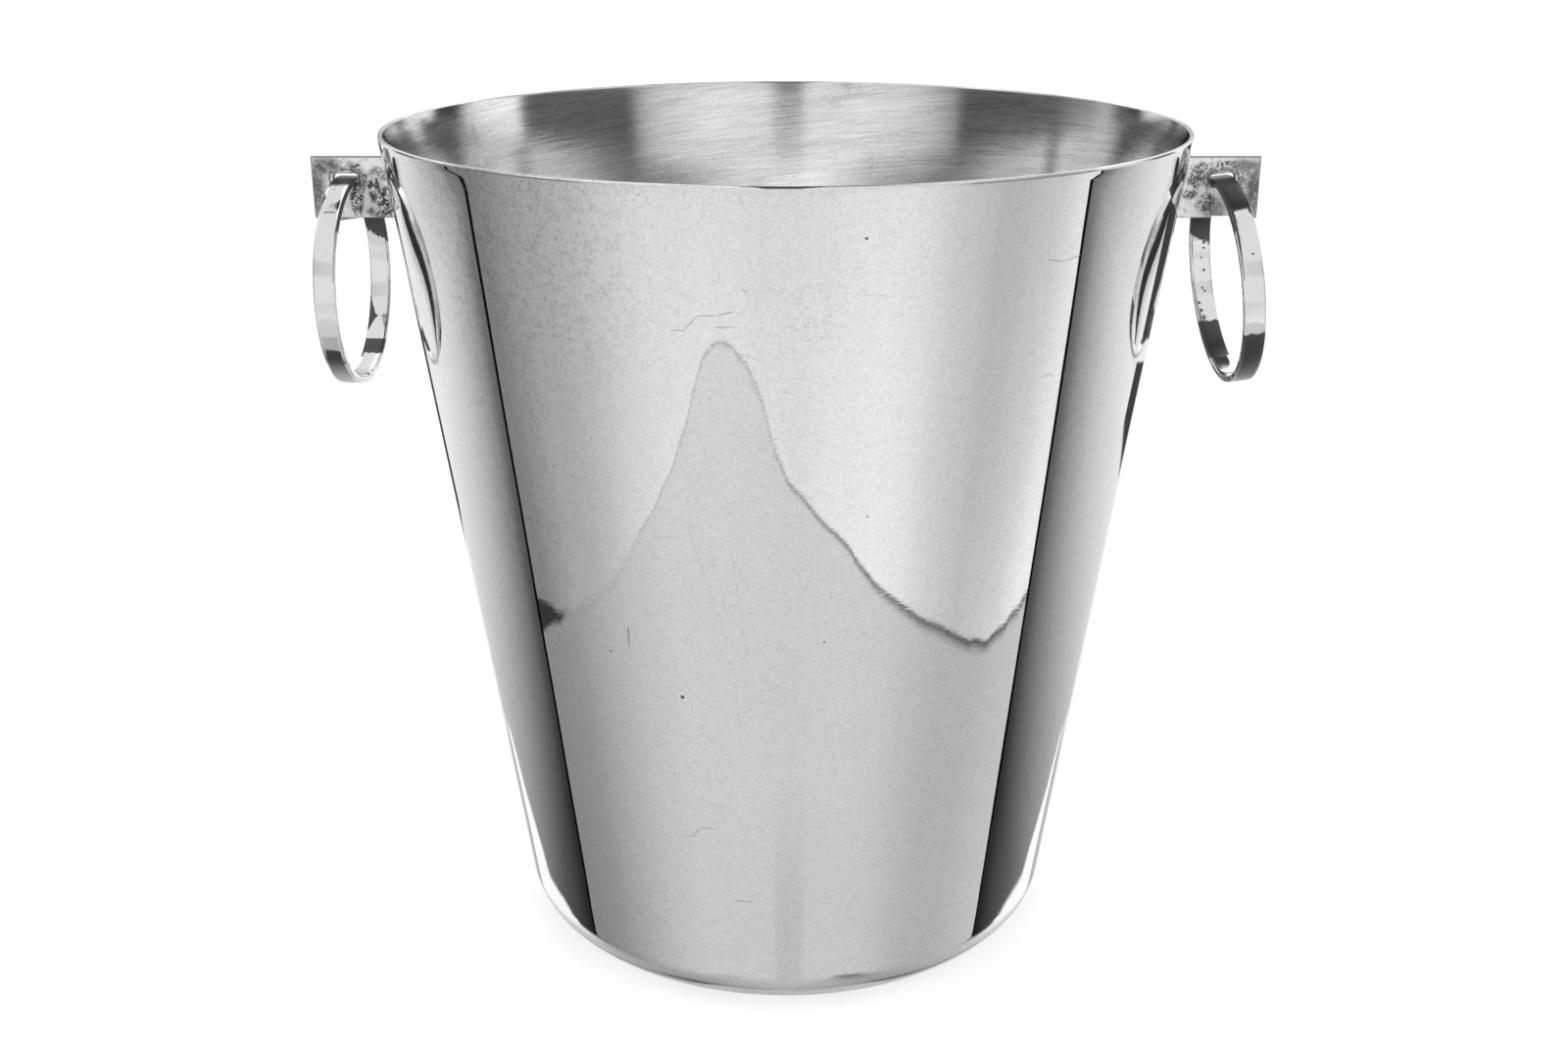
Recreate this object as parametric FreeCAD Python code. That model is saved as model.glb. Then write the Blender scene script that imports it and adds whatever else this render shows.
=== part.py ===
import FreeCAD, Part

import math
import os

# A champagne bucket in silver plate: a straight tapered bucket spun from one sheet, with a square lug
# plate standing edge-on at each side under the rim and a flat-strip ring hanging through each plate.
#
# Frame, in millimetres: origin at the centre of the underside, +Z up the bucket's axis, the two lug
# plates along +X (right) and -X (left), the front along -Y. Each lug plate has a notch sawn up into it
# from below; the closed ring is hung in the notch, and a keeper soldered in under it shuts the notch.
# The ring swings about the keeper's rounded top edge.

# ---- Bucket -------------------------------------------------------------------------------------
RIM_RADIUS = 100.0            # outside of the wall, produced up to the rim plane
HEIGHT = 212.0                # underside to top of rim
TAPER_DEG = 8.02              # slope of the wall from the vertical
WALL = 1.2                    # sheet thickness, wall and base alike
BASE_CORNER_RADIUS = 12.5     # outside radius where the wall turns into the base
DISH_RADIUS = 50.0            # the base is hollowed inside this radius, so it stands on a flat ring
DISH_DEPTH = 1.2

# ---- Lug plates ---------------------------------------------------------------------------------
LUG_REACH = 119.4             # bucket axis to the plate's outer edge
LUG_TOP = 203.8
LUG_BOTTOM = 188.4
LUG_THICKNESS = 1.8
LUG_EDGE_RADIUS = 0.3         # softened edges all round, in the notch too
LUG_ROOT_DEPTH = 12.0         # how far the uncut plate runs into the wall before it is trimmed to it
SOLDER_LEG = 0.7              # fillet of solder between the plate and the wall

# ---- Rings --------------------------------------------------------------------------------------
RING_RADIUS = 26.4            # outside
RING_THICKNESS = 1.6
RING_WIDTH = 5.4              # width of the strip, along the ring's axis
RING_EDGE_RADIUS = 0.25
PIVOT_HEIGHT = 196.15         # hinge line: centre of the keeper's rounded top edge
RUNNING_GAP = 0.05            # between the ring and the keeper it hangs on

# ---- Notch and keeper ---------------------------------------------------------------------------
NOTCH_SIDE_GAP = 0.45         # each side of the strip
NOTCH_TOP_GAP = 0.9           # above the strip, which lets the ring swing
NOTCH_CORNER_RADIUS = 1.2     # the notch has an arched top

# The two handles were fitted by hand and differ a little. sign: which side of the bucket, along X.
# ring_x: the ring's centre from the bucket's axis. lean: notch and ring tipped in the plate's plane,
# foot outward, in degrees. turn: the ring turned about the vertical, front half outward, in degrees.
# keeper_drop: how far the keeper ends below the plate. keeper_slant: slope of the keeper's lower edge,
# outer end down, in degrees.
HANDLES = {
    "left": {
        "sign": -1,
        "ring_x": 111.0,
        "lean": 0.5,
        "turn": 2.9,
        "keeper_drop": 0.35,
        "keeper_slant": 8.0,
    },
    "right": {
        "sign": 1,
        "ring_x": 113.1,
        "lean": 7.2,
        "turn": 2.5,
        "keeper_drop": -0.5,
        "keeper_slant": 0.0,
    },
}

ORIGIN = FreeCAD.Vector(0, 0, 0)
X_AXIS = FreeCAD.Vector(1, 0, 0)
Y_AXIS = FreeCAD.Vector(0, 1, 0)
Z_AXIS = FreeCAD.Vector(0, 0, 1)

TAPER = math.radians(TAPER_DEG)
RING_INSIDE = RING_RADIUS - RING_THICKNESS
KEEPER_RADIUS = LUG_THICKNESS / 2
# The ring's centre hangs this far under the hinge line.
RING_DROP = RING_INSIDE - KEEPER_RADIUS - RUNNING_GAP
NOTCH_WIDTH = RING_WIDTH + 2 * NOTCH_SIDE_GAP
# Height of the notch above the hinge line, along the leaning notch.
NOTCH_TOP = KEEPER_RADIUS + RUNNING_GAP + RING_THICKNESS + NOTCH_TOP_GAP
TOLERANCE = 0.01


def wall_radius(height):
    """Outside radius of the tapered wall at a height above the underside."""
    return RIM_RADIUS - (HEIGHT - height) * math.tan(TAPER)


def rz(radius, height):
    """A point of a turned profile, in the XZ plane."""
    return FreeCAD.Vector(radius, 0, height)


def line(start, end):
    return Part.LineSegment(start, end).toShape()


def arc(start, middle, end):
    return Part.Arc(start, middle, end).toShape()


def revolve(edges):
    face = Part.Face(Part.Wire(edges))
    return face.revolve(ORIGIN, Z_AXIS, 360)


def make_bucket():
    """The spun shell: hollowed base, round base corner, straight taper and a full-round rim."""
    corner_centre_r = wall_radius(BASE_CORNER_RADIUS) - BASE_CORNER_RADIUS / math.cos(TAPER)
    corner_mid = (math.pi / 2 + TAPER) / 2

    def corner(radius, angle):
        return rz(corner_centre_r + radius * math.cos(angle), BASE_CORNER_RADIUS - radius * math.sin(angle))

    inside_corner = BASE_CORNER_RADIUS - WALL
    rim_radius = WALL / 2
    rim_centre_z = HEIGHT - rim_radius
    rim_centre_r = wall_radius(rim_centre_z) - rim_radius / math.cos(TAPER)

    def rim(angle):
        return rz(rim_centre_r + rim_radius * math.cos(angle), rim_centre_z + rim_radius * math.sin(angle))

    dish_sphere = (DISH_RADIUS ** 2 + DISH_DEPTH ** 2) / (2 * DISH_DEPTH)
    half_dish = DISH_RADIUS / 2
    dish_mid_z = DISH_DEPTH - (dish_sphere - math.sqrt(dish_sphere ** 2 - half_dish ** 2))

    outer = [
        arc(rz(0, DISH_DEPTH), rz(half_dish, dish_mid_z), rz(DISH_RADIUS, 0)),
        line(rz(DISH_RADIUS, 0), corner(BASE_CORNER_RADIUS, math.pi / 2)),
        arc(corner(BASE_CORNER_RADIUS, math.pi / 2), corner(BASE_CORNER_RADIUS, corner_mid),
            corner(BASE_CORNER_RADIUS, TAPER)),
        line(corner(BASE_CORNER_RADIUS, TAPER), rim(-TAPER)),
    ]
    top = [arc(rim(-TAPER), rim(math.pi / 2 - TAPER), rim(math.pi - TAPER))]
    inner = [
        line(rim(math.pi - TAPER), corner(inside_corner, TAPER)),
        arc(corner(inside_corner, TAPER), corner(inside_corner, corner_mid),
            corner(inside_corner, math.pi / 2)),
        line(corner(inside_corner, math.pi / 2), rz(DISH_RADIUS, WALL)),
        arc(rz(DISH_RADIUS, WALL), rz(half_dish, dish_mid_z + WALL), rz(0, DISH_DEPTH + WALL)),
        line(rz(0, DISH_DEPTH + WALL), rz(0, DISH_DEPTH)),
    ]
    return revolve(outer + top + inner)


def make_wall_core():
    """The wall's outer surface as a solid cone, long enough to trim anything that meets the wall."""
    foot = LUG_BOTTOM - LUG_ROOT_DEPTH
    return Part.makeCone(wall_radius(foot), RIM_RADIUS, HEIGHT - foot, rz(0, foot), Z_AXIS)


def lean_frame(handle):
    """Placement of a handle's leaning frame: origin on the hinge line over the ring, foot outward."""
    lean = handle["lean"] * handle["sign"]
    top_shift = RING_DROP * math.sin(math.radians(handle["lean"]))
    hinge = rz((handle["ring_x"] - top_shift) * handle["sign"], PIVOT_HEIGHT)
    return FreeCAD.Placement(hinge, FreeCAD.Rotation(Y_AXIS, -lean))


def place(shape, placement):
    moved = shape.copy()
    moved.Placement = placement * moved.Placement
    return moved


def extrude_outline(edges, direction):
    return Part.Face(Part.Wire(edges)).extrude(direction)


def make_notch(handle):
    """Cutter for the notch: straight sides, round-cornered top, open at the bottom."""
    half = NOTCH_WIDTH / 2
    r = NOTCH_CORNER_RADIUS
    foot = LUG_BOTTOM - PIVOT_HEIGHT - LUG_THICKNESS * 2
    front = -LUG_THICKNESS

    def point(x, z):
        return FreeCAD.Vector(x, front, z)

    bow = r * math.sin(math.pi / 4)
    shoulder = NOTCH_TOP - r
    edges = [
        line(point(-half, foot), point(-half, shoulder)),
        arc(point(-half, shoulder), point(-half + r - bow, shoulder + bow), point(-half + r, NOTCH_TOP)),
        line(point(-half + r, NOTCH_TOP), point(half - r, NOTCH_TOP)),
        arc(point(half - r, NOTCH_TOP), point(half - r + bow, shoulder + bow), point(half, shoulder)),
        line(point(half, shoulder), point(half, foot)),
        line(point(half, foot), point(-half, foot)),
    ]
    cutter = extrude_outline(edges, Y_AXIS * (2 * LUG_THICKNESS))
    return place(cutter, lean_frame(handle))


def face_outline_edges(shape):
    """The plate's edges that lie in its front or back face."""
    flat = [edge for edge in shape.Edges if edge.BoundBox.YLength < TOLERANCE]
    return [edge for edge in flat if abs(edge.BoundBox.YMax) > LUG_THICKNESS / 2 - TOLERANCE]


def make_uncut_plate(handle):
    inner_x = wall_radius(LUG_BOTTOM) - LUG_ROOT_DEPTH
    size_x = LUG_REACH - inner_x
    start_x = inner_x if handle["sign"] > 0 else -LUG_REACH
    corner = FreeCAD.Vector(start_x, -LUG_THICKNESS / 2, LUG_BOTTOM)
    return Part.makeBox(size_x, LUG_THICKNESS, LUG_TOP - LUG_BOTTOM, corner)


def make_lug_plate(handle, wall_core):
    """The square plate, notched, with softened edges and its inner end scribed to the wall."""
    plate = make_uncut_plate(handle).cut(make_notch(handle))
    plate = plate.makeFillet(LUG_EDGE_RADIUS, face_outline_edges(plate))
    return plate.cut(wall_core)


def on_wall(edge):
    """True where an edge ends on the wall's outer surface."""
    gaps = [math.hypot(v.Point.x, v.Point.y) - wall_radius(v.Point.z) for v in edge.Vertexes]
    return max(abs(gap) for gap in gaps) < TOLERANCE


def beside_plate(edge):
    """True where an edge keeps within the lug plate's thickness and height."""
    box = edge.BoundBox
    within_thickness = max(-box.YMin, box.YMax) < LUG_THICKNESS / 2 + TOLERANCE
    return within_thickness and box.ZMin > LUG_BOTTOM - TOLERANCE and box.ZMax < LUG_TOP + TOLERANCE


def make_lug_solder(handle, wall_core):
    """The fillet of solder all round the line where the plate meets the wall."""
    plate = make_uncut_plate(handle)
    plate = plate.makeFillet(LUG_EDGE_RADIUS, face_outline_edges(plate))
    joined = wall_core.fuse(plate)
    seam = [edge for edge in joined.Edges if on_wall(edge) and beside_plate(edge)]
    return joined.makeFillet(SOLDER_LEG, seam).cut(joined)


def make_keeper(handle):
    """The block that shuts the notch; its top edge is rounded right over, and the ring hangs on it."""
    half = NOTCH_WIDTH / 2
    r = KEEPER_RADIUS
    foot = LUG_BOTTOM - PIVOT_HEIGHT - handle["keeper_drop"]

    def point(y, z):
        return FreeCAD.Vector(-half, y, z)

    deep = foot - NOTCH_WIDTH
    edges = [
        line(point(-r, deep), point(-r, 0)),
        arc(point(-r, 0), point(0, r), point(r, 0)),
        line(point(r, 0), point(r, deep)),
        line(point(r, deep), point(-r, deep)),
    ]
    block = place(extrude_outline(edges, X_AXIS * NOTCH_WIDTH), lean_frame(handle))
    side = 4 * NOTCH_WIDTH
    below = Part.makeBox(side, side, side, FreeCAD.Vector(-side / 2, -side / 2, -side))
    slope = FreeCAD.Rotation(Y_AXIS, handle["keeper_slant"] * handle["sign"])
    lower_edge = rz(handle["ring_x"] * handle["sign"], LUG_BOTTOM - handle["keeper_drop"])
    return block.cut(place(below, FreeCAD.Placement(lower_edge, slope)))


def make_ring(handle):
    """The flat strip bent into a closed ring, hanging on the keeper."""
    outside = Part.makeCylinder(RING_RADIUS, RING_WIDTH, FreeCAD.Vector(-RING_WIDTH / 2, 0, 0), X_AXIS)
    inside = Part.makeCylinder(RING_INSIDE, 2 * RING_WIDTH, FreeCAD.Vector(-RING_WIDTH, 0, 0), X_AXIS)
    strip = outside.cut(inside)
    rims = [edge for edge in strip.Edges if edge.BoundBox.XLength < 0.01]
    strip = strip.makeFillet(RING_EDGE_RADIUS, rims)
    turn = FreeCAD.Rotation(Z_AXIS, handle["turn"] * handle["sign"])
    hung = place(strip, FreeCAD.Placement(rz(0, -RING_DROP), turn))
    return place(hung, lean_frame(handle))


def make_nodes():
    wall_core = make_wall_core()
    nodes = {"bucket_body": make_bucket()}
    for side, handle in HANDLES.items():
        nodes[side + "_lug_plate"] = make_lug_plate(handle, wall_core)
        nodes[side + "_lug_solder"] = make_lug_solder(handle, wall_core)
        nodes[side + "_ring_keeper"] = make_keeper(handle)
        nodes[side + "_ring"] = make_ring(handle)
    return nodes


os.makedirs("parts", exist_ok=True)
for name, shape in make_nodes().items():
    shape.exportStep("parts/" + name + ".step")
    print(name, "solids", len(shape.Solids), "valid", shape.isValid(), "volume", round(shape.Volume, 1))
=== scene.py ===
import math

import bpy
from mathutils import Matrix, Vector, noise


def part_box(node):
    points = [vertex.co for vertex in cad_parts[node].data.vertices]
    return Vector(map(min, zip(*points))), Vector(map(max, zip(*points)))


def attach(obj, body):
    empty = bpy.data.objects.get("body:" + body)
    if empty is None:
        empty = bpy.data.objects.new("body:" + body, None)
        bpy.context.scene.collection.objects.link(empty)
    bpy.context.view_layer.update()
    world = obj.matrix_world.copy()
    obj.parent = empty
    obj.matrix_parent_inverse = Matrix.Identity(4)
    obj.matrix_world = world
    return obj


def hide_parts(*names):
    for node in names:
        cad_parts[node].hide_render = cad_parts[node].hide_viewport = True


# A silver-plated champagne bucket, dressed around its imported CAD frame. Lengths are millimetres in the
# named values and metres in the meshes. The frame is the CAD one: +Z up the bucket's axis, lug plates
# along X, front along -Y.

MM = 0.001
TO_DEGREES = 180 / math.pi

# ---- Bucket, as in the CAD model ----------------------------------------------------------------
RIM_RADIUS = 100.0
VISUAL_SHRINK = 0.01          # keeps the turned surface just inside the CAD one
TAPER = math.radians(8.02)
WALL = 1.2
BASE_CORNER_RADIUS = 12.5
DISH_RADIUS = 50.0
DISH_DEPTH = 1.2

# ---- Rings and their lugs, as in the CAD model --------------------------------------------------
RING_RADIUS = 26.4
RING_THICKNESS = 1.6
RING_WIDTH = 5.4
RING_EDGE_RADIUS = 0.25
PIVOT_HEIGHT = 196.15
RING_DROP = 23.85             # hinge line down to the ring's centre
PLATE_THICKNESS = 1.8
HANDLES = {
    "left": {"sign": -1, "ring_x": 111.0, "lean": 0.5, "turn": 2.9},
    "right": {"sign": 1, "ring_x": 113.1, "lean": 7.2, "turn": 2.5},
}

# ---- Camera -------------------------------------------------------------------------------------
CAMERA_PLACE = (0.0, -458.3, 268.9)
CAMERA_PITCH_DEG = 19.57      # below the horizontal, looking along +Y
CAMERA_LENS = 41.44
CAMERA_SENSOR = 36.0
CAMERA_SHIFT = -0.0012

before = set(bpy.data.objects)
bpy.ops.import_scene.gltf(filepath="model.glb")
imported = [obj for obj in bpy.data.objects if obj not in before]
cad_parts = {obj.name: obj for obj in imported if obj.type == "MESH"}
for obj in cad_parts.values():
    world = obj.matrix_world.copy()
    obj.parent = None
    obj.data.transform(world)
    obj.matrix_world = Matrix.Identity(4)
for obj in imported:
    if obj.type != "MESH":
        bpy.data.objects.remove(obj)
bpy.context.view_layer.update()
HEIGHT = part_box("bucket_body")[1].z / MM


def smooth(value, low, high):
    """0 below low, 1 above high, eased in between."""
    share = min(1.0, max(0.0, (value - low) / (high - low)))
    return share * share * (3 - 2 * share)


# ---- Shader trees -------------------------------------------------------------------------------
class Shader:
    """Short ways to add nodes to one shader tree. A value is a number or another node's output."""

    def __init__(self, tree):
        self.tree = tree
        tree.nodes.clear()

    def add(self, kind, **settings):
        node = self.tree.nodes.new(kind)
        for name, value in settings.items():
            setattr(node, name, value)
        return node

    def feed(self, socket, value):
        if isinstance(value, bpy.types.NodeSocket):
            self.tree.links.new(value, socket)
        else:
            socket.default_value = value

    def math(self, operation, *values, clamp=False):
        node = self.add("ShaderNodeMath", operation=operation, use_clamp=clamp)
        for socket, value in zip(node.inputs, values):
            self.feed(socket, value)
        return node.outputs[0]

    def plus(self, a, b):
        return self.math("ADD", a, b)

    def minus(self, a, b):
        return self.math("SUBTRACT", a, b)

    def times(self, a, b):
        return self.math("MULTIPLY", a, b)

    def step(self, value, low, high):
        """0 where value is under low, 1 where it is over high, eased in between."""
        node = self.add("ShaderNodeMapRange", interpolation_type="SMOOTHSTEP")
        self.feed(node.inputs["Value"], value)
        self.feed(node.inputs["From Min"], low)
        self.feed(node.inputs["From Max"], high)
        return node.outputs["Result"]

    def between(self, value, low, high, soft):
        """1 where value lies between low and high, falling to 0 over soft on each side."""
        rise = self.step(value, self.minus(low, soft), low)
        fall = self.step(value, high, self.plus(high, soft))
        return self.math("SUBTRACT", rise, fall, clamp=True)

    def mix(self, share, a, b):
        """a where share is 0, b where it is 1; numbers only."""
        node = self.add("ShaderNodeMix", data_type="FLOAT")
        for socket, value in zip((node.inputs[0], node.inputs[2], node.inputs[3]), (share, a, b)):
            self.feed(socket, value)
        return node.outputs[0]

    def profile(self, value, stops, interpolation="LINEAR"):
        """A number that follows given (value, result) stops."""
        low, high = stops[0][0], stops[-1][0]
        place = self.math("DIVIDE", self.minus(value, low), high - low)
        node = self.add("ShaderNodeValToRGB")
        ramp = node.color_ramp
        ramp.interpolation = interpolation
        ramp.elements[1].position = 1.0
        while len(ramp.elements) < len(stops):
            ramp.elements.new(0.5)
        for element, (at, result) in zip(ramp.elements, stops):
            element.position = (at - low) / (high - low)
            element.color = (result, result, result, 1)
        self.feed(node.inputs[0], place)
        return node.outputs["Color"]

    def grey(self, value):
        node = self.add("ShaderNodeCombineColor")
        for socket in node.inputs:
            self.feed(socket, value)
        return node.outputs[0]

    def noise(self, vector, scale, detail=2.0, rough=0.5, warp=0.0):
        node = self.add("ShaderNodeTexNoise")
        self.feed(node.inputs["Vector"], vector)
        node.inputs["Scale"].default_value = scale
        node.inputs["Detail"].default_value = detail
        node.inputs["Roughness"].default_value = rough
        node.inputs["Distortion"].default_value = warp
        return node.outputs["Fac"]

    def split(self, vector):
        node = self.add("ShaderNodeSeparateXYZ")
        self.feed(node.inputs[0], vector)
        return node.outputs

    def join(self, x, y, z):
        node = self.add("ShaderNodeCombineXYZ")
        for socket, value in zip(node.inputs, (x, y, z)):
            self.feed(socket, value)
        return node.outputs[0]

    def blob(self, plane, centre, half_sizes, turn=0.0, soft=0.25):
        """1 inside an ellipse in the plane, turned by an angle in radians, fading out over its edge."""
        own = self.add("ShaderNodeMapping", vector_type="TEXTURE")
        self.feed(own.inputs["Vector"], plane)
        own.inputs["Location"].default_value = (centre[0], centre[1], 0)
        own.inputs["Rotation"].default_value = (0, 0, turn)
        own.inputs["Scale"].default_value = (half_sizes[0], half_sizes[1], 1)
        length = self.add("ShaderNodeVectorMath", operation="LENGTH")
        self.feed(length.inputs[0], own.outputs[0])
        return self.step(length.outputs["Value"], 1 + soft, 1 - soft)

    def bump(self, height, distance, strength=1.0, normal=None):
        """A normal roughened by height; distance is in metres, and normal is an earlier bump's."""
        node = self.add("ShaderNodeBump")
        self.feed(node.inputs["Height"], height)
        node.inputs["Distance"].default_value = distance
        node.inputs["Strength"].default_value = strength
        if normal is not None:
            self.feed(node.inputs["Normal"], normal)
        return node.outputs[0]


def new_material(name):
    material = bpy.data.materials.new(name)
    material.use_nodes = True
    return material, Shader(material.node_tree)


def finish_metal(shader, colour, roughness, normal):
    """The Principled metal that every silver surface ends in."""
    metal = shader.add("ShaderNodeBsdfPrincipled")
    metal.inputs["Metallic"].default_value = 1.0
    shader.feed(metal.inputs["Base Color"], shader.grey(colour))
    shader.feed(metal.inputs["Roughness"], roughness)
    shader.feed(metal.inputs["Normal"], normal)
    out = shader.add("ShaderNodeOutputMaterial")
    shader.feed(out.inputs["Surface"], metal.outputs[0])


def millimetres(shader):
    """The object's own coordinates: as one vector in metres, then x, y and z in millimetres."""
    position = shader.add("ShaderNodeTexCoord").outputs["Object"]
    metres = shader.split(position)
    x, y, z = (shader.times(metres[i], 1 / MM) for i in range(3))
    return position, x, y, z


# ---- Light tent ---------------------------------------------------------------------------------
# Azimuth 0 is towards the camera and +90 along +X; elevations are above the horizon, all in degrees.
# Each list follows one edge or one panel's brightness round the tent, as (azimuth, value) stops.
GAP_LEFT = (-99.6, 0.17)      # azimuth of the dark gap at elevation -19, and its slant with elevation
GAP_RIGHT = (92.6, -0.37)
SEAM = [(-110, -30.6), (-101, -31.0), (-93, -32.3), (-86, -33.2), (-76, -34.0), (-62, -34.5),
        (-52, -34.0), (-44, -33.4), (-36, -32.4), (-31, -31.4), (-26, -30.1), (-23, -29.7),
        (-19.5, -29.6), (-15.5, -30.0),
        (-11, -30.8), (-7, -31.9), (-4.5, -33.0), (0, -34.1), (9, -35.1), (23, -36.1), (30, -36.7),
        (40, -36.9), (55, -36.6), (73, -35.6), (82, -34.6), (90, -33.1), (95, -31.9), (104, -30)]
CLOTH = [(-110, 0.2), (-97, 0.21), (-90, 0.27), (-82, 0.34), (-70, 0.40), (-55, 0.56), (-40, 0.70),
         (-25, 0.73), (-8, 0.69), (4, 0.68), (18, 0.74), (32, 0.77), (42, 0.70), (52, 0.57), (64, 0.47),
         (72, 0.50), (82, 0.60), (92, 0.80), (104, 0.88)]
TABLE = [(-110, 0.22), (-97, 0.24), (-85, 0.28), (-70, 0.40), (-55, 0.52), (-40, 0.60), (-20, 0.61),
         (0, 0.59), (20, 0.60), (36, 0.58), (48, 0.51), (60, 0.45), (75, 0.44), (90, 0.5), (104, 0.55)]
PLEAT_PITCH = 1.17            # degrees from one pleat of a side panel to the next
# The side panels brighten with the angle past the gap, and darken towards the table.
SIDES = [(0, 0.13), (4, 0.19), (8, 0.33), (14, 0.47), (22, 0.62), (32, 0.73), (45, 0.79), (90, 0.9)]
SIDES_FALL = [(-52, 0.05), (-43, 0.08), (-37, 0.17), (-31, 0.46), (-25, 0.76), (-19, 1.0), (-10, 1.0)]
# Where the side panels end and the white back begins, as (elevation, distance from azimuth 0).
BACK_EDGE = [(-60, 101), (-48, 107), (-42, 111), (-39.2, 118), (-37.3, 126), (-35, 137), (-33, 142),
             (-31, 147), (-28.6, 151), (-26.5, 160)]
# Round the horizon: edges are two stops close together.
HORIZON = [(-180, 0.6), (-160, 0.35), (-142, 0.8), (-136, 0.5), (-133, 0.06), (-122, 0.12), (-116, 0.42),
           (-108, 0.28), (-92, 0.11), (-59, 0.09), (-56, 0.30), (-48, 0.52), (-38, 0.66), (-25, 0.74),
           (0, 0.72), (25, 0.74), (36, 0.66), (43, 0.58), (49, 0.36), (51, 0.10), (88, 0.11), (91, 0.14),
           (93, 0.88), (108, 0.85), (117, 0.45), (119, 0.06), (132, 0.08), (134, 0.92), (150, 0.82),
           (165, 0.5), (180, 0.6)]
# How far down the horizon's walls reach before cloth and panels cover them, out from azimuth 0.
HORIZON_FOOT = [(0, -13), (50, -13), (75, -10), (95, -8), (180, -6)]
# Beside each lug a thin dark stripe hangs behind, as (elevation, distance from azimuth 0).
STRIPE = [(-18.2, 141), (-17.9, 136.8), (-17.6, 134.8), (-17.1, 133.6), (-16.6, 133.6), (-16.0, 134.6),
          (-15.4, 136.2), (-14.5, 139), (-13.5, 141.5), (-12.8, 143), (-12.2, 142), (-11.0, 142.5)]
# Drapes above the horizon dim the sides, as (distance from azimuth 0, share of the light left).
DRAPES = [(0, 1.0), (30, 0.75), (48, 0.65), (65, 0.45), (82, 0.25), (103, 0.25), (123, 0.42), (142, 0.62),
          (165, 0.9), (180, 1.0)]
CEILING = 1.25
CEILING_FRONT = 0.72
TENT_STRENGTH = 1.08


def low_front_light(s, azimuth, elevation):
    """Between the gaps: cloth hanging down to the table, with a dark crease where they meet."""
    # A colour ramp holds 0 to 1, so the seam's elevations are squeezed into it and stretched back.
    span = 15.0
    floor = -40.0
    seam = s.profile(azimuth, [(a, (e - floor) / span) for a, e in SEAM], "CARDINAL")
    above = s.minus(elevation, s.plus(s.times(seam, span), floor))
    folds = s.noise(s.join(s.times(azimuth, 0.09), s.times(elevation, 0.05), 3.0), 1.0, detail=3.0)
    cloth_rise = s.plus(1.0, s.times(s.minus(-28.0, elevation), 0.008))
    cloth_rise = s.times(cloth_rise, s.plus(0.94, s.times(folds, 0.12)))
    cloth = s.times(s.profile(azimuth, CLOTH), cloth_rise)
    table_rise = s.plus(1.0, s.times(s.plus(elevation, 38.0), 0.006))
    middle = s.times(s.between(azimuth, -3.0, 6.0, 4.0), s.step(elevation, -43.0, -49.0))
    table_rise = s.times(table_rise, s.minus(1.0, s.times(middle, 0.12)))
    table = s.times(s.profile(azimuth, TABLE), table_rise)
    light = s.mix(s.step(above, -0.02, 0.02), table, cloth)
    # The crease is darkest right under the cloth, and fades into the table, further on the right.
    reach = s.mix(s.step(azimuth, -30.0, 75.0), 0.12, 0.6)
    fade = s.math("POWER", s.step(above, s.times(reach, -1.0), 0.0), 1.6)
    crease = s.times(fade, s.step(above, 0.04, -0.01))
    depth = s.mix(s.step(azimuth, -48.0, -26.0), 0.42, 0.82)
    shade = s.times(crease, depth)
    # On the left the cloth lifts and leaves a black wedge.
    wedge_depth = s.times(s.minus(azimuth, -87.0), 0.075)
    wedge = s.step(above, s.minus(wedge_depth, 0.04), s.plus(wedge_depth, 0.04))
    wedge = s.times(wedge, s.step(above, 0.04, -0.02))
    shade = s.math("MAXIMUM", shade, s.times(s.times(wedge, s.step(azimuth, -86.0, -88.5)), 0.86))
    return s.times(light, s.minus(1.0, shade))


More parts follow.
